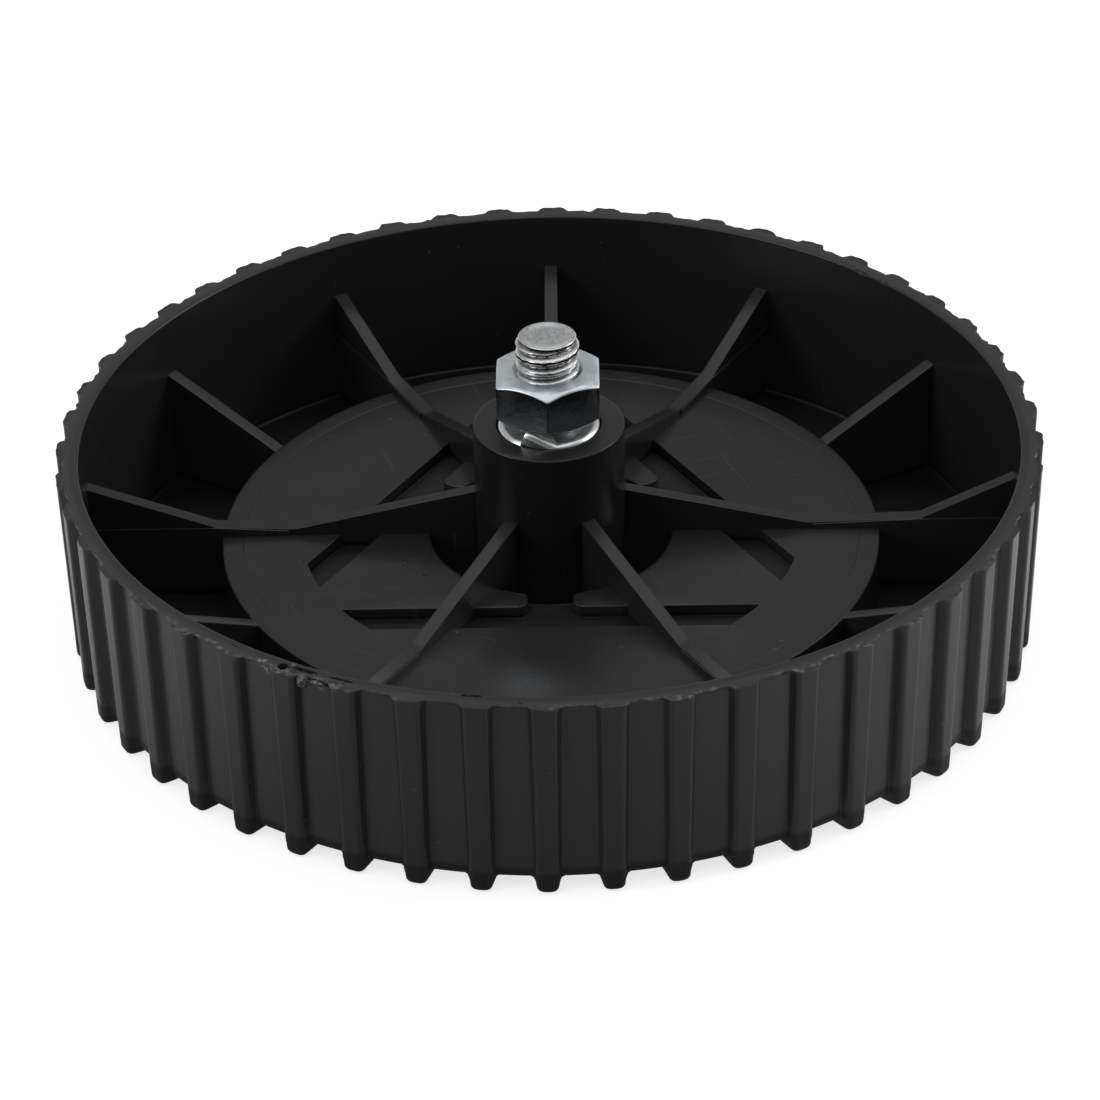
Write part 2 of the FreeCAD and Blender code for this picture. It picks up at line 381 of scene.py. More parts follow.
# Each ridge is a little wider than the one before, so that no faces coincide where they cross
for index in range(slot_count):
    apart = ridge_apart * index
    ridge = closed_mesh("ridge", [slot_ring(height, margin + apart) for height, margin in ridge_levels])
    combine(wheel, copies("ridge", ridge, 1, slot_angle + index * 2 * math.pi / slot_count), "UNION")
slot_tool = closed_mesh("slot_tool", [slot_ring(height, margin) for height, margin in cut_levels])
combine(wheel, copies("slot_tools", slot_tool, slot_count, slot_angle), "DIFFERENCE")
gap_tool = closed_mesh("gap_tool", [gap_ring(height, margin) for height, margin in cut_levels])
combine(wheel, copies("gap_tools", gap_tool, slot_count, slot_angle), "DIFFERENCE")

# Wheel, ribs.
# Long ribs brace the hub to the rim across the disc, and short ones stand in the trough between them.
# Each is a thin web with rounded top edges, and the long ones stand on a slightly thicker foot.
rib_count = 6
rib_thickness = 2.3
rib_round = 0.2
rib_bite = 0.9
rib_hub_height = 21.6
rib_knee = (40.3, 14.9)
rib_knee_round = 8.0
rib_lip = (52.7, 15.4)
rib_far_lip = (58.1, 15.4)
rib_rim_height = 23.0
rib_foot_step = 0.22
rib_foot_round = 0.12
rib_foot_start = 1.0
rib_foot_drop = 0.2
rib_foot_lip_drop = 0.05
short_rib_drop = 0.05
hub_side = hub_radius - rib_bite
rim_side = wall_radius + rib_bite
rim_foot = wall_radius - rim_draft
step_middle = (disc_radius + dish_radius) / 2
moat_wall_middle = (moat_radius + boss_radius) / 2
in_disc = 11.55
in_sidewall = sidewall * 2 / 3


def web(name, top, bottom, thickness, edge_round):
    """Upright web between a top and a bottom line of (r, z) points, with its top edges rounded."""
    half = thickness / 2
    mid_arc = 1 - math.sqrt(0.5)
    levels = [(half, edge_round), (half - mid_arc * edge_round, mid_arc * edge_round), (half - edge_round, 0)]
    levels = [(-y, drop) for y, drop in levels] + [(y, drop) for y, drop in reversed(levels)]
    rings = []
    for y, drop in levels:
        rings.append([(r, y, z - drop) for r, z in top] + [(r, y, z) for r, z in reversed(bottom)])
    return closed_mesh(name, rings)


long_bottom = [
    (hub_side, moat_floor - rib_bite),
    (moat_wall_middle, moat_floor - rib_bite),
    (moat_wall_middle, in_disc),
    (step_middle, in_disc),
    (step_middle, in_sidewall),
    (rim_foot, in_sidewall),
    (rim_side, sidewall),
]
foot_start = rib_knee[0] + rib_foot_start
foot_bottom = [
    (foot_start, in_disc),
    (step_middle, in_disc),
    (step_middle, in_sidewall),
    (rim_foot, in_sidewall),
    (rim_side, sidewall),
]
for lip, first, count in ((rib_lip, 1, rib_count - 1), (rib_far_lip, 0, 1)):
    long_top = [(hub_side, rib_hub_height)]
    long_top += bend(long_top[0], rib_knee, lip, rib_knee_round, 6)
    long_top += [lip, (rim_side, rib_rim_height)]
    blade = web("long_rib", long_top, long_bottom, rib_thickness, rib_round)
    first_angle = first * 2 * math.pi / rib_count
    combine(wheel, copies("long_ribs", blade, count, first_angle, rib_count), "UNION")
    foot_lip = lip[1] - rib_foot_lip_drop
    foot_top = [(foot_start, rib_knee[1] - rib_foot_drop), (lip[0], foot_lip), (rim_side, foot_lip)]
    rib_foot = web("rib_foot", foot_top, foot_bottom, rib_thickness + 2 * rib_foot_step, rib_foot_round)
    combine(wheel, copies("rib_feet", rib_foot, count, first_angle, rib_count), "UNION")
short_top = [(step_middle, disc_top - short_rib_drop), (disc_radius, disc_top), (rim_side, rib_rim_height)]
short_bottom = [(step_middle, in_sidewall), (rim_foot, in_sidewall), (rim_side, sidewall)]
short_rib = web("short_rib", short_top, short_bottom, rib_thickness, rib_round)
combine(wheel, copies("short_ribs", short_rib, rib_count, math.pi / rib_count), "UNION")

# Wheel, tread lugs.
# Straight lugs stand round the rim. Each is widest at the open side and narrows to a rounded foot that wraps
# under the shoulder. Where the mould halves met, their upper edges are torn and carry flash.
lug_count = 50
lug_angle = math.radians(269.65)
lug_crest_width = 3.4
lug_foot_width = 3.0
lug_flank = 0.6
lug_foot_flank = 0.45
lug_edge_round = 0.6
lug_foot_edge_round = 0.9
lug_root_round = 0.06
lug_foot_root_round = 0.8
lug_foot_round = 1.1
lug_foot_corner = 1.1
lug_bite = 1.0
lug_ragged = 0.8
lug_seed = 3.0
lug_flash_start = 31.2
lug_flash_fill = 0.46
lug_flash_height = 0.5
lug_crest_share = 0.9
lug_corner_share = 0.8
lug_edge_most = 0.8
lug_edge_fade = 4
lug_root_fade = 12
lug_root_step = 0.3
lug_overlap = 0.01
lug_sink = 0.25
lug_crown_share = 0.3
lug_in_rim = 0.02
lug_levels = [rim_top, 31.7, 31.2, 30.0, 24.0, 16.0, 9.0, 6.0, 4.2, 3.3, 2.7, 2.3]
lug_levels += [1.9, 1.5, 1.1, 0.8, 0.5, 0.3, 0.12, 0.03, 0.0]


def body_radius(z):
    """Radius of the rim's outside between the lugs, down to the bevel that ends it."""
    if z < groove_bevel_height:
        return bevel_radius + groove_bevel_width * z / groove_bevel_height
    return groove_radius - rim_draft * (1 - z / rim_top)


def drawn_in(z, radius):
    """How far a rounded lower edge draws in at a height."""
    return 0.0 if z >= radius else radius - math.sqrt(radius ** 2 - (radius - z) ** 2)


def lug_ring(z):
    """Level slice through a lug, from one root round the crest to the other."""
    share = 1 - z / rim_top
    crest_radius = tread_radius - rim_draft * share - drawn_in(z, lug_foot_round)
    crest = (lug_crest_width + (lug_foot_width - lug_crest_width) * share) / 2
    crest -= lug_corner_share * drawn_in(z, lug_foot_corner)
    edge = lug_edge_round + (lug_foot_edge_round - lug_edge_round) * share ** lug_edge_fade
    edge = min(edge, lug_edge_most * crest)
    root_round = lug_root_round + (lug_foot_root_round - lug_root_round) * share ** lug_root_fade
    base = crest + lug_flank + (lug_foot_flank - lug_flank) * share
    base += lug_flash_fill * max(0.0, (z - lug_flash_start) / (rim_top - lug_flash_start))
    root_radius = math.sqrt(body_radius(z) ** 2 - (base + root_round) ** 2) - lug_overlap
    in_body = z + max(0.0, lug_sink - z / 2)
    half = [
        (root_radius - lug_bite, base + root_round, in_body),
        (root_radius - lug_root_step, base + root_round, in_body),
    ]
    for step in range(4):
        turn = math.pi / 2 * step / 3
        r = root_radius + root_round * (1 - math.cos(turn))
        half.append((r, base + root_round * (1 - math.sin(turn)), z))
    corner = Vector((crest_radius, crest))
    flank_foot = Vector((root_radius + root_round, base))
    start = corner + (flank_foot - corner).normalized() * edge
    end = Vector((crest_radius, crest - edge))
    for step in range(6):
        t = step / 5
        point = start * (1 - t) ** 2 + corner * 2 * t * (1 - t) + end * t ** 2
        half.append((point.x, point.y, z))
    half.append((crest_radius, lug_crown_share * (crest - edge), z))
    return half + [(r, -side, height) for r, side, height in reversed(half)]


lug_rings = [lug_ring(z) for z in lug_levels]
root_edge = groove_radius + lug_in_rim
lug_rings[0] = [(x, y, z - (lug_in_rim if x < root_edge else 0)) for x, y, z in lug_rings[0]]
lug = closed_mesh("lug", lug_rings)
flash = lug.attributes.new("flash", "FLOAT", "POINT")
for vertex in lug.vertices:
    at_crest = vertex.co.x / mm > tread_radius - lug_crest_share * lug_height
    near_top = max(0.0, 1 - (rim_top - vertex.co.z / mm) / lug_flash_height)
    flash.data[vertex.index].value = near_top * mm if at_crest else 0.0
combine(wheel, copies("lugs", lug, lug_count, lug_angle, ragged=lug_ragged, seed=lug_seed), "UNION")

# Wheel, torn places on the rim.
# The moulding was torn in a few places along its open edge, which left notches, slits and flaps.
# Each is cut or joined on as a lump, given by its angle round the axle, radius, height and three half sizes.
# Two small pits that the mould's gates left on the disc are cut in the same way.
torn_places = [
    (240.3, 74.3, 32.0, 0.8, 0.8, 1.3),
    (243.2, 73.8, 32.1, 1.8, 0.40, 0.9),
    (247.2, 73.8, 32.1, 1.8, 0.28, 0.7),
    (233.4, 73.8, 32.1, 1.3, 0.10, 0.3),
    (261.9, 73.0, 32.0, 1.7, 0.35, 0.5),
    (267.2, 74.3, 32.1, 0.6, 0.25, 0.3),
    (272.0, 75.7, 32.1, 0.5, 0.5, 0.35),
    (279.5, 75.9, 32.1, 0.7, 0.4, 0.4),
    (44.0, 72.6, 32.0, 1.6, 0.4, 0.5),
    (40.0, 72.7, 32.0, 1.1, 0.35, 0.4),
    (196.0, 75.9, 31.6, 0.9, 0.4, 1.3),
    (344.0, 75.9, 31.6, 0.8, 0.4, 1.2),
]
gate_marks = [
    (202.6, 24.6, disc_top, 0.55, 0.45, 0.3),
    (214.9, 23.7, disc_top, 0.5, 0.35, 0.3),
]
torn_flaps = [
    (241.5, 73.6, 32.1, 0.8, 0.45, 0.45),
    (243.2, 75.4, 31.4, 0.85, 0.6, 0.95),
    (244.7, 75.2, 31.6, 1.1, 0.3, 0.25),
    (246.0, 75.1, 31.0, 1.0, 0.25, 0.2),
    (246.8, 74.4, 32.0, 1.7, 0.25, 0.2),
]
tear_lumps = 0.35
tear_lump_scale = 2.3


def lump(degrees, r, z, along, across, up):
    """Lumpy closed shape at a place on the wheel."""
    mesh = bpy.data.meshes.new("lump")
    bm = bmesh.new()
    made = bmesh.ops.create_icosphere(bm, subdivisions=3, radius=1.0)["verts"]
    place = Matrix.Rotation(math.radians(degrees), 4, "Z") @ Matrix.Translation((r * mm, 0, z * mm))
    for vert in made:
        swell = 1 + tear_lumps * noise.noise(vert.co * tear_lump_scale + Vector((degrees, r, z)))
        shape = vert.co * swell
        vert.co = place @ Vector((shape.x * across * mm, shape.y * along * mm, shape.z * up * mm))
    bm.to_mesh(mesh)
    bm.free()
    return mesh


for torn_place in torn_places + gate_marks:
    combine(wheel, add_object("torn_place", lump(*torn_place)), "DIFFERENCE")
for torn_flap in torn_flaps:
    combine(wheel, add_object("torn_flap", lump(*torn_flap)), "UNION")


def soften(piece, sharp_degrees, merge_distance=0.0003):
    """Merges stray doubles and shades a hard-edged piece smoothly between its edges."""
    bm = bmesh.new()
    bm.from_mesh(piece.data)
    bmesh.ops.remove_doubles(bm, verts=bm.verts, dist=merge_distance * mm)
    bm.to_mesh(piece.data)
    bm.free()
    piece.data.shade_smooth()
    piece.data.set_sharp_from_angle(angle=math.radians(sharp_degrees))
    weighted = piece.modifiers.new("weighted", "WEIGHTED_NORMAL")
    weighted.keep_sharp = True
    settle(piece)


def mark_edges(piece, least_degrees=22, full_degrees=60):
    """Stores on each point how sharp a ridge it lies on, for wear."""
    bm = bmesh.new()
    bm.from_mesh(piece.data)
    ridge_of = [0.0] * len(bm.verts)
    for edge in bm.edges:
        if len(edge.link_faces) != 2:
            continue
        turn = math.degrees(edge.calc_face_angle_signed(0.0))
        share = (turn - least_degrees) / (full_degrees - least_degrees)
        for vert in edge.verts:
            ridge_of[vert.index] = max(ridge_of[vert.index], min(1.0, share))
    bm.free()
    worn = piece.data.attributes.new("worn_edge", "FLOAT", "POINT")
    worn.data.foreach_set("value", ridge_of)


soften(wheel, sharp_degrees=38)
mark_edges(wheel)


# Wheel, black plastic.
# Unpainted black plastic with a satin skin: fine grain from the mould, faint flow marks, pale worn edges,
# whitened plastic where flash was torn off along the open edge, and a few specks of dust.
# Its colour also carries painted light in the grooves between the lugs and painted shade on the trough and
# slot floors.
class Nodes:
    """Short way to build a material's nodes: calls add nodes, set their inputs and return an output."""

    def __init__(self, name):
        self.material = bpy.data.materials.new(name)
        self.material.use_nodes = True
        self.tree = self.material.node_tree
        self.shader = self.tree.nodes["Principled BSDF"]

    def put(self, socket, value):
        """Links an output to a socket, or sets the socket to a constant."""
        if isinstance(value, bpy.types.NodeSocket):
            self.tree.links.new(value, socket)
        else:
            socket.default_value = value

    def add(self, kind, output=0, settings=None, **inputs):
        """Adds a node. Inputs go by name, or by number as i0, i1 and so on."""
        node = self.tree.nodes.new(kind)
        for name, value in (settings or {}).items():
            setattr(node, name, value)
        for name, value in inputs.items():
            key = int(name[1:]) if name[0] == "i" and name[1:].isdigit() else name.replace("_", " ")
            self.put(node.inputs[key], value)
        return node.outputs[output]

    def math(self, operation, first, second=0.0, third=0.0, clamp=False):
        settings = {"operation": operation, "use_clamp": clamp}
        return self.add("ShaderNodeMath", settings=settings, i0=first, i1=second, i2=third)

    def product(self, first, *others):
        """Multiplies values one after another."""
        for other in others:
            first = self.math("MULTIPLY", first, other)
        return first

    def position(self):
        """Place on the object, its x, y and z, and its distance from the axle."""
        place = self.add("ShaderNodeTexCoord", output="Object")
        split = self.tree.nodes.new("ShaderNodeSeparateXYZ")
        self.put(split.inputs[0], place)
        x, y, z = split.outputs
        square = self.math("ADD", self.math("MULTIPLY", x, x), self.math("MULTIPLY", y, y))
        return place, (x, y, z), self.math("SQRT", square)

    def span_mm(self, value, low, high, to_low=0.0, to_high=1.0):
        """Smooth step between two lengths in millimetres."""
        return self.span(value, low * mm, high * mm, to_low, to_high)

    def span(self, value, low, high, to_low=0.0, to_high=1.0):
        """Smooth step from one value to another."""
        inputs = {"Value": value, "From_Min": low, "From_Max": high, "To_Min": to_low, "To_Max": to_high}
        return self.add("ShaderNodeMapRange", settings={"interpolation_type": "SMOOTHSTEP"}, **inputs)

    def noise(self, vector, scale, detail=3.0, roughness=0.5, output=0):
        inputs = {"Vector": vector, "Scale": scale, "Detail": detail, "Roughness": roughness}
        return self.add("ShaderNodeTexNoise", output=output, **inputs)

    def mix(self, share, first, second):
        settings = {"data_type": "RGBA"}
        return self.add("ShaderNodeMix", output=2, settings=settings, i0=share, i6=first, i7=second)

    def shade(self, **inputs):
        for name, value in inputs.items():
            self.put(self.shader.inputs[name.replace("_", " ")], value)


white_places = [
    (241.5, 73.6, 32.4, 1.0),
    (243.2, 75.6, 31.3, 1.4),
    (245.2, 75.2, 31.3, 1.6),
    (247.3, 75.6, 32.0, 1.2),
    (237.8, 74.6, 32.0, 1.0),
    (238.2, 74.8, 31.0, 1.3),
]


def black_plastic():
    """Satin black plastic for the wheel, with its wear, painted light in the grooves and painted shade on the
    floors.
    """
    skin_dark = (0.0132, 0.0132, 0.0137, 1)
    skin_light = (0.0190, 0.0190, 0.0196, 1)
    painted_groove_light = (0.032, 0.032, 0.033, 1)
    painted_shade_colour = (0.003, 0.003, 0.003, 1)
    worn_colour = (0.05, 0.05, 0.052, 1)
    flash_colour = (0.12, 0.12, 0.12, 1)
    torn_colour = (0.17, 0.17, 0.17, 1)
    scratch_colour = (0.10, 0.10, 0.105, 1)
    dust_colour = (0.10, 0.10, 0.10, 1)
    n = Nodes("black_plastic")
    place, (x, y, z), radius = n.position()
    # Flow marks and cloudiness of the skin
    cloud = n.noise(place, 38.0, 4.0, 0.6)
    grain = n.noise(place, 2600.0, 2.0, 0.6)
    colour = n.mix(cloud, skin_dark, skin_light)
    # Painted light: the grooves between the lugs are made paler, where they catch more light
    past_wall = n.span_mm(radius, wall_radius + 1.0, wall_radius + 1.6)
    below_crest = n.span_mm(radius, groove_radius + 0.3, groove_radius + 0.9, 0.45, 0.0)
    colour = n.mix(n.product(past_wall, below_crest), colour, painted_groove_light)
    # Painted shade darkens the floors of the trough and the slots, and the hub's colour is darker
    trough = n.product(
        n.span_mm(z, sidewall + 0.2, sidewall + 1.2, 1.0, 0.0),
        n.span_mm(radius, disc_radius, disc_radius + 0.5),
    )
    in_slot = n.product(
        n.span_mm(z, slot_floor + 0.3, slot_floor + 0.9, 1.0, 0.0),
        n.span_mm(z, slot_floor - 0.3, slot_floor - 0.1),
        n.span_mm(radius, moat_radius, moat_radius + 0.5),
        n.span_mm(radius, slot_end_radius + 0.5, slot_end_radius + 1, 1.0, 0.0),
    )
    shaded_floors = n.math("MAXIMUM", trough, in_slot)
    hub_darker = n.span_mm(radius, hub_radius + 0.2, hub_radius + 0.6, 0.4, 0.0)
    darkened = n.math("MAXIMUM", n.math("MULTIPLY", shaded_floors, 0.95), hub_darker)
    colour = n.mix(darkened, colour, painted_shade_colour)
    # Worn ridges
    ridge = n.add("ShaderNodeAttribute", output="Fac", settings={"attribute_name": "worn_edge"})
    patchy = n.span(n.noise(place, 260.0, 4.0, 0.65), 0.42, 0.7)
    inside_wall = n.span_mm(radius, wall_radius + 0.5, wall_radius + 1.4, 1.0, 0.06)
    wear = n.product(ridge, n.math("MULTIPLY_ADD", patchy, 0.75, 0.25), inside_wall)
    colour = n.mix(n.math("MULTIPLY", wear, 0.16), colour, worn_colour)
    # Torn flash along the open edge of the rim, most of it at the front
    near_top = n.span_mm(z, rim_top - 0.4, rim_top - 0.1)
    near_edge = n.span_mm(radius, groove_radius - 0.35, groove_radius + 0.1)
    torn = n.span(n.noise(place, 900.0, 4.0, 0.7), 0.46, 0.62)
    stretch = n.span(n.noise(place, 75.0, 2.0, 0.5), 0.34, 0.56)
    ripped = n.span_mm(y, -66.0, -30.0, 1.0, 0.2)
    flash_share = n.product(near_top, near_edge, n.product(torn, stretch), ripped, ridge)
    colour = n.mix(flash_share, colour, flash_colour)
    # Plastic that turned white where it was torn
    crazed = n.span(n.noise(place, 1500.0, 3.0, 0.7), 0.46, 0.66)
    for degrees, r, height, reach in white_places:
        turn = math.radians(degrees)
        spot = (r * mm * math.cos(turn), r * mm * math.sin(turn), height * mm)
        away = n.add("ShaderNodeVectorMath", output=1, settings={"operation": "DISTANCE"}, i0=place, i1=spot)
        share = n.product(n.span_mm(away, 0.5 * reach, reach, 1.0, 0.0), crazed)
        colour = n.mix(share, colour, torn_colour)
    # Fine scratches across the disc, and specks of dust
    on_disc = n.product(
        n.span_mm(z, disc_top, disc_top + 0.3, 1.0, 0.0),
        0.15,
        n.span_mm(radius, disc_radius - 1.5, disc_radius, 1.0, 0.0),
    )
    about_axle = {"rotation_type": "Z_AXIS"}
    for turn, shift in ((0.5, 0.0), (-0.4, 3.7), (1.2, 8.1)):
        turned_place = n.add("ShaderNodeVectorRotate", settings=about_axle, Vector=place, Angle=turn)
        grid = n.add("ShaderNodeMapping", Vector=turned_place, Location=(shift, 0, 0), Scale=(55, 1700, 55))
        scratch = n.span(n.noise(grid, 1.0, 1.0, 0.4), 0.73, 0.78)
        colour = n.mix(n.math("MULTIPLY", scratch, on_disc), colour, scratch_colour)
    speck = n.span(n.noise(place, 900.0, 1.0, 0.4), 0.785, 0.82)
    colour = n.mix(n.math("MULTIPLY", speck, 0.4), colour, dust_colour)
    # Gloss of the skin, duller where it is worn, on the rim's top, on the trough and slot floors with their
    # painted shade, on the disc and outside
    rough = n.math("ADD", n.span(cloud, 0.3, 0.7, 0.21, 0.28), n.math("MULTIPLY", wear, 0.12))
    on_rim = n.product(near_top, n.span_mm(radius, wall_radius - 0.1, wall_radius + 0.3, 0.0, 0.07))
    rough = n.math("ADD", rough, on_rim)
    rough = n.math("MULTIPLY_ADD", shaded_floors, 0.25, rough)
    rough = n.math("MULTIPLY_ADD", on_disc, 0.15, rough)
    rough = n.math("ADD", rough, n.span_mm(radius, wall_radius + 1.0, wall_radius + 1.8, 0.0, 0.06))
    # Streaks that the mould left down the tread
    on_tread = n.span_mm(radius, groove_radius - 0.4, groove_radius)
    streak = n.noise(n.add("ShaderNodeMapping", Vector=place, Scale=(1, 1, 0.02)), 1300.0, 3.0, 0.6)
    streak = n.math("MULTIPLY", n.span(streak, 0.35, 0.65, -0.05, 0.05), on_tread)
    rough = n.math("ADD", rough, streak)
    # Rings that the cutter left on the end of the hub
    x_share = n.math("MULTIPLY", x, 0.02)
    y_share = n.math("MULTIPLY", y, 0.02)
    ring = n.add("ShaderNodeCombineXYZ", X=radius, Y=x_share, Z=y_share)
    on_hub = n.math("MULTIPLY", n.span_mm(z, hub_top - 0.15, hub_top - 0.05), 1.6)
    cutter = n.math("MULTIPLY", n.noise(ring, 3800.0, 2.0, 0.6), on_hub)
    rough = n.math("MULTIPLY_ADD", on_hub, 0.08, rough)
    height = n.math("MULTIPLY_ADD", grain, 0.35, n.math("ADD", n.noise(place, 420.0, 3.0, 0.55), cutter))
    bump = n.add("ShaderNodeBump", Strength=0.10, Distance=0.00006, Height=height)
    n.shade(Base_Color=colour, Roughness=rough, Normal=bump, IOR=1.38)
    return n.material


# Joining pieces leaves an empty slot behind, which would come before the plastic
wheel.data.materials.clear()
wheel.data.materials.append(black_plastic())
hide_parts("wheel")
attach(wheel, "wheel")

# Axle bolt.
# Zinc-plated shouldered steel bolt. Its hex head sits in the recess under the hub, a plain journal carries
# the bore, and a rolled thread with a plain turned point and a dished end takes the washer and the nut.
thread_radius = 4.9
thread_pitch = 1.9
thread_depth = 0.8
point_radius = 4.45
point_length = 0.42
point_neck = 0.3
point_bevel = 0.12
neck_depth = 0.28
neck_runout = 1.6
crest_share = 0.30
flank_share = 0.52
core_radius = 4.15
thread_rows_per_pitch = 16
journal_radius = 6.2
shoulder_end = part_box("spring_washer")[0][2] / mm
bolt_end = bolt_high[2] / mm
head_bottom = bolt_low[2] / mm
head_flats = 16.0
head_corner_round = 0.3
head_seat_bevel = 0.25
head_seat_share = 0.985
journal_fillet = 0.3
journal_bevel = 0.3
journal_bevel_height = 0.4
shoulder_ledge = 0.1
turned_face_share = 0.475


def thread_radius_at(turn, z):
    """Radius of the thread's surface: flat crests and roots, sloped flanks, and a plain turned point."""
    phase = (z / thread_pitch - turn) % 1.0
    rise = abs(phase - 0.5) * 2
    share = min(1.0, max(0.0, (rise - crest_share) / flank_share))
    from_end = bolt_end - z
    radius = thread_radius - thread_depth * share
    if from_end < point_length:
        return point_radius - max(0.0, point_bevel - from_end)
    if from_end < point_length + point_neck:
        return point_radius - neck_depth
    return min(radius, point_radius - neck_depth + (from_end - point_length - point_neck) * neck_runout)


def circle(radius, z, turns):
    """Ring of points on a circle, one for each of the given angles."""
    return [(radius * math.cos(turn), radius * math.sin(turn), z) for turn in turns]


def hex_outline(flats, corner_round, side_steps=7):
    """Outline of a hexagon with a corner towards the front and its corners slightly rounded."""
    corner = flats / math.sqrt(3)
    corners = []
    for step in range(6):
        angle = math.radians(270 + 60 * step)
        corners.append((corner * math.cos(angle), corner * math.sin(angle)))
    outline = []
    for step in range(6):
        arc = bend(corners[step - 1], corners[step], corners[(step + 1) % 6], corner_round, 4)
        outline.extend(arc)
        start = Vector(arc[-1])
        after = bend(corners[step], corners[(step + 1) % 6], corners[(step + 2) % 6], corner_round, 4)
        end = Vector(after[0])
        outline.extend(tuple(start.lerp(end, share / (side_steps + 1))) for share in range(1, side_steps + 1))
    return outline


def hex_end(outline, face_radius, end, way):
    """Rings over a turned-off end of a hexagon, from flat face to sides; way is 1 at the top, -1 below."""
    slope = math.tan(math.radians(30))
    rings = [circle(face_radius, end, [math.atan2(y, x) for x, y in outline])]
    for back, down in ((0.35, 0), (0.1, 0), (0, 0.07), (0, 0.3)):
        ring = []
        for x, y in outline:
            radius = math.hypot(x, y)
            share = (radius - back) / radius
            fall = (radius - back - face_radius) * slope + down
            ring.append((x * share, y * share, end - way * fall))
        rings.append(ring)
    return rings


head_outline = hex_outline(head_flats, head_corner_round)
turns = [math.atan2(y, x) for x, y in head_outline]
bolt_rings = [circle(2.0, head_bottom + 0.1, turns), circle(5.4, head_bottom + 0.05, turns)]
bolt_rings += hex_end(head_outline, turned_face_share * head_flats, head_bottom, -1)
bolt_rings.append([(x, y, head_seat - head_seat_bevel) for x, y in head_outline])
bolt_rings.append([(x * head_seat_share, y * head_seat_share, head_seat) for x, y in head_outline])
for radius, z in (
    (journal_radius + journal_fillet, head_seat),
    (journal_radius, head_seat + journal_fillet),
    (journal_radius, shoulder_end - journal_bevel_height),
    (journal_radius - journal_bevel, shoulder_end),
    (thread_radius + shoulder_ledge, shoulder_end),
):
    bolt_rings.append(circle(radius, z, turns))
thread_rows = round((bolt_end - shoulder_end) / thread_pitch * thread_rows_per_pitch)
for row in range(thread_rows + 1):
    z = shoulder_end + (bolt_end - shoulder_end) * row / thread_rows
    ring = []
    for turn in turns:
        radius = thread_radius_at(turn / (2 * math.pi), z)
        ring.append((radius * math.cos(turn), radius * math.sin(turn), z))
    bolt_rings.append(ring)
for radius, dish in ((core_radius, 0.0), (3.7, 0.15), (2.8, 0.28), (1.5, 0.34)):
    bolt_rings.append(circle(radius, bolt_end - dish, turns))
bolt = add_object("axle_bolt_steel", closed_mesh("axle_bolt_steel", bolt_rings))
soften(bolt, sharp_degrees=40)


def zinc(name, light, dark, side_rough, end_rough, speckle, root_darkening=0.0):
    """Bright zinc plate: cloudy blue-white metal, smooth on sides and duller on ends, with small stains."""
    thread_root_colour = (0.10, 0.095, 0.085, 1)
    stain_colour = (0.30, 0.29, 0.27, 1)
    n = Nodes(name)
    place, (_, _, z), radius = n.position()
    way = n.tree.nodes.new("ShaderNodeSeparateXYZ")
    n.put(way.inputs[0], n.add("ShaderNodeTexCoord", output="Normal"))
    on_end = n.span(n.math("ABSOLUTE", way.outputs["Z"]), 0.3, 0.8)
    cloud = n.noise(place, 240.0, 4.0, 0.6)
    colour = n.mix(n.span(cloud, 0.32, 0.68), light, dark)
    # Colour darker down in the thread's roots, above the point
    in_thread = n.product(
        n.span_mm(radius, core_radius - 0.1, core_radius),
        n.span_mm(radius, 4.3, 4.75, 1.0, 0.0),
        n.span_mm(z, bolt_end - 0.8, bolt_end - 0.7, 1.0, 0.0),
    )
    colour = n.mix(n.math("MULTIPLY", in_thread, root_darkening), colour, thread_root_colour)
    stain = n.span(n.noise(place, 620.0, 3.0, 0.6), 0.62, 0.72)
    colour = n.mix(n.math("MULTIPLY", stain, 0.45), colour, stain_colour)
    mottle = n.span(n.noise(place, 2200.0, 4.0, 0.7), 0.3, 0.7, -0.3 * speckle, 0.3 * speckle)
    even = n.math("MULTIPLY_ADD", on_end, end_rough - side_rough, side_rough)
    rough = n.math("ADD", even, n.math("MULTIPLY", mottle, even))
    fine = n.noise(place, 1900.0, 3.0, 0.6)
    drawn = n.noise(n.add("ShaderNodeMapping", Vector=place, Scale=(1, 1, 0.04)), 1100.0, 2.0, 0.6)
    lumps = n.math("MULTIPLY_ADD", cloud, 7.0, n.math("MULTIPLY", fine, 0.6))
    height = n.math("ADD", lumps, n.math("MULTIPLY", drawn, 0.8))
    bump = n.add("ShaderNodeBump", Strength=0.16 * speckle, Distance=0.00006, Height=height)
    n.shade(Base_Color=colour, Metallic=1.0, Roughness=rough, Normal=bump)
    return n.material


bolt.data.materials.append(zinc(
    "bolt_zinc",
    light=(0.70, 0.71, 0.72, 1),
    dark=(0.52, 0.53, 0.54, 1),
    side_rough=0.14,
    end_rough=0.30,
    speckle=1.3,
    root_darkening=0.8,
))
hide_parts("axle_bolt")
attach(bolt, "axle")

# Spring washer.
# One turn of square spring steel wire with rounded edges, zinc plated and cut through on a slant.
# It lies in the hub's counterbore on the bolt's shoulder, and one end is bent up to the nut.
washer_low, washer_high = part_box("spring_washer")
washer_outer = (washer_high[0] - washer_low[0]) / 2 / mm
washer_inner = 4.95
washer_thickness = 2.2
washer_rise = (washer_high[2] - washer_low[2]) / mm - washer_thickness
washer_high_end = math.radians(240)
washer_gap = math.radians(3)
washer_ramp = math.radians(36)
washer_slant = 0.12
washer_round = 0.35
washer_shoulder = 1.15
washer_swell = 0.45
washer_bend_power = 1.2
washer_steps = 150
washer_step_power = 1.3


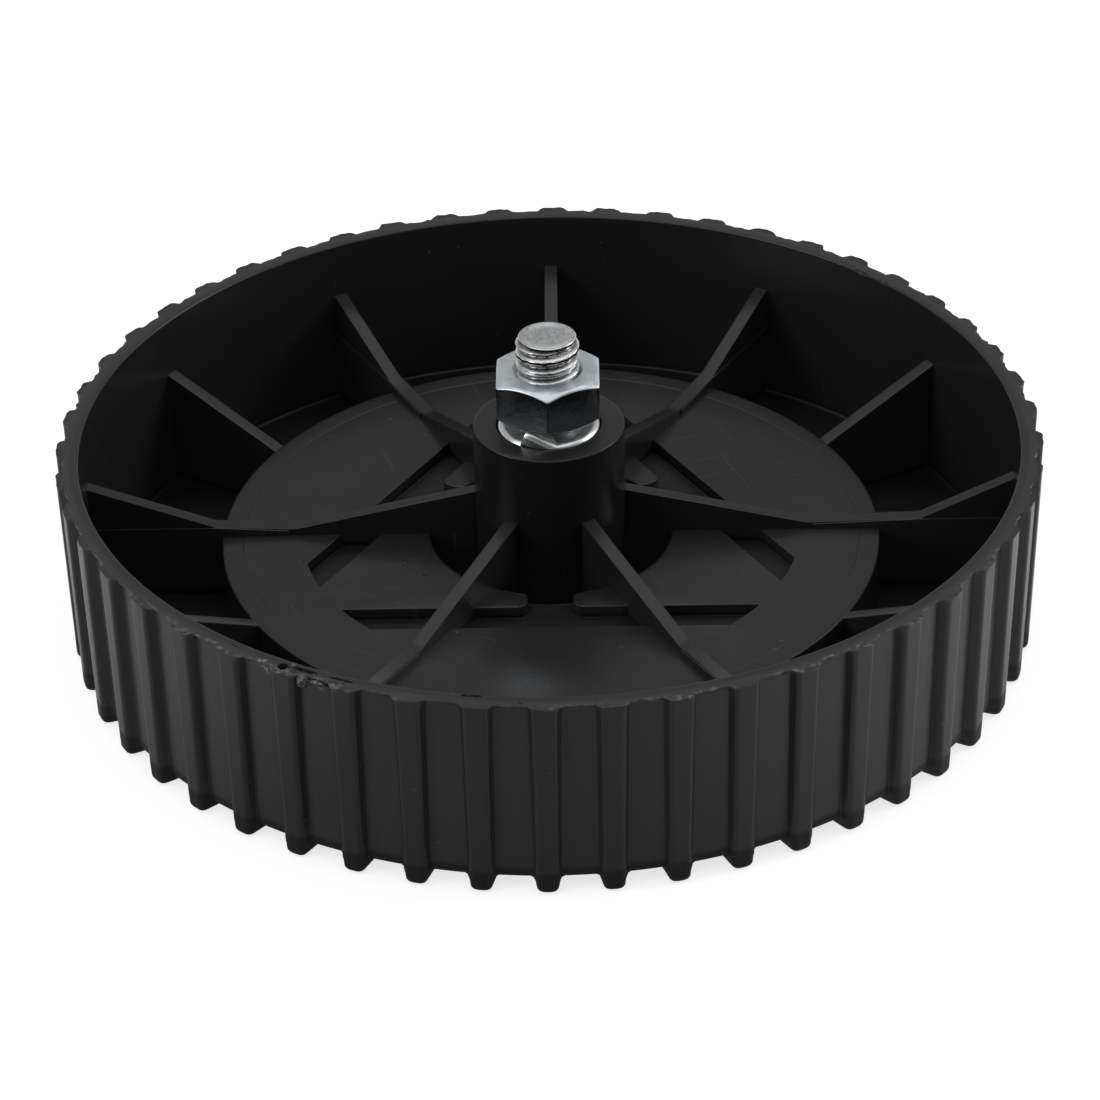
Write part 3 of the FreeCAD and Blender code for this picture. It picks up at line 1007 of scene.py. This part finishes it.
def washer_mesh():
    """Closed mesh of the washer: a rounded square section carried round one turn, from the bent end on."""
    section = rounded_outline([
        (washer_inner, 0, washer_round),
        (washer_outer, 0, washer_round),
        (washer_outer, washer_thickness, washer_shoulder),
        (washer_inner, washer_thickness, washer_round),
    ])
    sweep = 2 * math.pi - washer_gap
    rings = []
    for step in range(washer_steps + 1):
        gone = sweep * (step / washer_steps) ** washer_step_power
        bend_share = math.cos(math.pi / 2 * min(1.0, gone / washer_ramp)) ** washer_bend_power
        swell = washer_swell * bend_share
        lift = washer_low[2] / mm + washer_rise * bend_share - swell
        ring = []
        for r, z in section:
            angle = washer_high_end + gone + washer_slant * (z / washer_thickness - 0.5)
            ring.append((r * math.cos(angle), r * math.sin(angle), z * (1 + swell / washer_thickness) + lift))
        rings.append(ring)
    return closed_mesh("spring_washer_steel", rings)


washer = add_object("spring_washer_steel", washer_mesh())
soften(washer, sharp_degrees=40)
washer.data.materials.append(zinc(
    "washer_zinc",
    light=(0.74, 0.75, 0.76, 1),
    dark=(0.62, 0.63, 0.64, 1),
    side_rough=0.26,
    end_rough=0.30,
    speckle=0.25,
))
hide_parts("spring_washer")
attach(washer, "axle")

# Hex nut.
# Zinc-plated hex nut, screwed down on the washer.
# Its corners are turned off at both ends, and its bore is plain and countersunk.
nut_low, nut_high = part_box("hex_nut")
nut_bottom = nut_low[2] / mm
nut_top = nut_high[2] / mm
nut_flats = (nut_high[0] - nut_low[0]) / mm
nut_countersink = 0.45
nut_countersink_depth = 0.8
nut_bore_bite = 0.2
nut_edge = 0.15
nut_edge_depth = 0.1
nut_corner_round = 0.5
nut_outline = hex_outline(nut_flats, nut_corner_round)
nut_turns = [math.atan2(y, x) for x, y in nut_outline]
nut_rings = hex_end(nut_outline, turned_face_share * nut_flats, nut_bottom, -1)
nut_rings += reversed(hex_end(nut_outline, turned_face_share * nut_flats, nut_top, 1))
for radius, z in (
    (thread_radius + nut_countersink + nut_edge, nut_top),
    (thread_radius + nut_countersink, nut_top - nut_edge_depth),
    (thread_radius - nut_bore_bite, nut_top - nut_countersink_depth),
    (thread_radius - nut_bore_bite, nut_bottom + nut_countersink_depth),
    (thread_radius + nut_countersink, nut_bottom + nut_edge_depth),
    (thread_radius + nut_countersink + nut_edge, nut_bottom),
):
    nut_rings.append(circle(radius, z, nut_turns))
nut = add_object("hex_nut_steel", closed_mesh("hex_nut_steel", nut_rings, loop=True))
soften(nut, sharp_degrees=40)
nut.data.materials.append(zinc(
    "nut_zinc",
    light=(0.65, 0.69, 0.72, 1),
    dark=(0.52, 0.56, 0.59, 1),
    side_rough=0.12,
    end_rough=0.44,
    speckle=0.8,
))
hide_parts("hex_nut")
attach(nut, "axle")


# Floor, light and camera.
# A white table with the wheel's soft shadow, a large soft box overhead, and the photograph's point of view.
dim_middle = -0.02
dim_half_width = 0.03
bright_from = 0.11
dim_glow = 0.10
bright_glow = 0.60
camera_glow = 0.75
paper_colour = (0.45, 0.45, 0.45, 1)


def map_range(nodes, low, high, to_low, to_high, interpolation="LINEAR"):
    """New node that maps one range of values onto another."""
    node = nodes.new("ShaderNodeMapRange")
    node.interpolation_type = interpolation
    for name, value in (("From Min", low), ("From Max", high), ("To Min", to_low), ("To Max", to_high)):
        node.inputs[name].default_value = value
    return node


def white_floor():
    """Pale floor: white with the wheel's shadow to the camera, and in reflections dimmer about its middle."""
    material = bpy.data.materials.new("white_floor")
    material.use_nodes = True
    nodes = material.node_tree.nodes
    link = material.node_tree.links.new
    nodes.clear()
    path = nodes.new("ShaderNodeLightPath")
    seen = nodes.new("ShaderNodeMath")
    seen.operation = "MAXIMUM"
    link(path.outputs["Is Camera Ray"], seen.inputs[0])
    link(path.outputs["Is Transmission Ray"], seen.inputs[1])
    mirrored = nodes.new("ShaderNodeMath")
    mirrored.operation = "MULTIPLY"
    spot = nodes.new("ShaderNodeTexCoord")
    across = nodes.new("ShaderNodeSeparateXYZ")
    link(spot.outputs["Object"], across.inputs[0])
    from_dim = nodes.new("ShaderNodeMath")
    from_dim.operation = "SUBTRACT"
    from_dim.inputs[1].default_value = dim_middle
    link(across.outputs["X"], from_dim.inputs[0])
    aside = nodes.new("ShaderNodeMath")
    aside.operation = "ABSOLUTE"
    link(from_dim.outputs[0], aside.inputs[0])
    brighter = map_range(nodes, dim_half_width, bright_from, dim_glow, bright_glow)
    link(aside.outputs[0], brighter.inputs["Value"])
    link(brighter.outputs[0], mirrored.inputs[1])
    link(path.outputs["Is Glossy Ray"], mirrored.inputs[0])
    strength = nodes.new("ShaderNodeMath")
    strength.operation = "MULTIPLY_ADD"
    strength.inputs[1].default_value = camera_glow
    link(seen.outputs[0], strength.inputs[0])
    link(mirrored.outputs[0], strength.inputs[2])
    glow = nodes.new("ShaderNodeEmission")
    glow.inputs["Color"].default_value = (1, 1, 1, 1)
    link(strength.outputs[0], glow.inputs["Strength"])
    paper = nodes.new("ShaderNodeBsdfDiffuse")
    paper.inputs["Color"].default_value = paper_colour
    both = nodes.new("ShaderNodeAddShader")
    link(glow.outputs[0], both.inputs[0])
    link(paper.outputs[0], both.inputs[1])
    link(both.outputs[0], nodes.new("ShaderNodeOutputMaterial").inputs["Surface"])
    return material


floor_mesh = bpy.data.meshes.new("floor")
floor_half = 6.0
floor_level = -0.00005
floor_corners = []
for x, y in ((-1, -1), (1, -1), (1, 1), (-1, 1)):
    floor_corners.append((x * floor_half, y * floor_half, floor_level))
floor_mesh.from_pydata(floor_corners, [], [(0, 1, 2, 3)])
floor = add_object("floor", floor_mesh)
floor_mesh.materials.append(white_floor())


def studio_world():
    """White backdrop to the camera; for light and reflections bright low down, dim above and in front."""
    world = bpy.data.worlds.new("studio")
    world.use_nodes = True
    nodes = world.node_tree.nodes
    link = world.node_tree.links.new
    ground = nodes["Background"]
    direction = nodes.new("ShaderNodeTexCoord")
    split = nodes.new("ShaderNodeSeparateXYZ")
    link(direction.outputs["Generated"], split.inputs[0])
    height = map_range(nodes, 0.08, 0.42, 0.85, 0.34, "SMOOTHSTEP")
    link(split.outputs["Z"], height.inputs["Value"])
    front = map_range(nodes, -0.80, -0.20, 0.30, 1.0, "SMOOTHSTEP")
    link(split.outputs["Y"], front.inputs["Value"])
    room = nodes.new("ShaderNodeMath")
    room.operation = "MULTIPLY"
    link(height.outputs[0], room.inputs[0])
    link(front.outputs[0], room.inputs[1])
    path = nodes.new("ShaderNodeLightPath")
    strength = nodes.new("ShaderNodeMix")
    link(path.outputs["Is Camera Ray"], strength.inputs["Factor"])
    link(room.outputs[0], strength.inputs["A"])
    strength.inputs["B"].default_value = 1.0
    ground.inputs["Color"].default_value = (1, 1, 1, 1)
    link(strength.outputs[0], ground.inputs["Strength"])
    return world


scene = bpy.context.scene
scene.world = studio_world()
scene.view_settings.view_transform = "Standard"


def soft_box(name, place, target, size, power):
    """Square soft box at a place, turned to a target, with its power in watts."""
    light = bpy.data.lights.new(name, "AREA")
    light.shape = "SQUARE"
    light.size = size
    light.energy = power
    lamp = bpy.data.objects.new(name, light)
    lamp.location = place
    lamp.rotation_euler = (Vector(target) - Vector(place)).to_track_quat("-Z", "Y").to_euler()
    scene.collection.objects.link(lamp)


soft_box("overhead", (0.0, -0.05, 1.1), (0, 0, 0), 2.0, 10.0)
soft_box("left", (-1.0, -0.45, 0.55), (0, 0, 0.02), 0.6, 3.5)
soft_box("right", (1.1, 0.25, 0.55), (0, 0, 0.02), 0.6, 4.5)

view_distance = 532.0
view_elevation = math.radians(32.37)
view_turn = math.radians(0.75)
view_roll = -0.0203
aim = Vector((-0.20, 0.0, 9.66)) * mm
focal_pixels = 3352.5
picture_pixels = 1100
sensor = 36.0
ahead = Vector((-math.sin(view_turn), math.cos(view_turn), 0))
back = -ahead * math.cos(view_elevation) + Vector((0, 0, math.sin(view_elevation)))
level = Vector((math.cos(view_turn), math.sin(view_turn), 0))
upward = back.cross(level)
right = level * math.cos(view_roll) + upward * math.sin(view_roll)
upright = upward * math.cos(view_roll) - level * math.sin(view_roll)
lens = bpy.data.cameras.new("photo_view")
lens.sensor_width = sensor
lens.lens = sensor * focal_pixels / picture_pixels
camera = bpy.data.objects.new("photo_view", lens)
stand = Matrix.Translation(aim + back * view_distance * mm)
camera.matrix_world = stand @ Matrix((right, upright, back)).transposed().to_4x4()
scene.collection.objects.link(camera)
scene.camera = camera
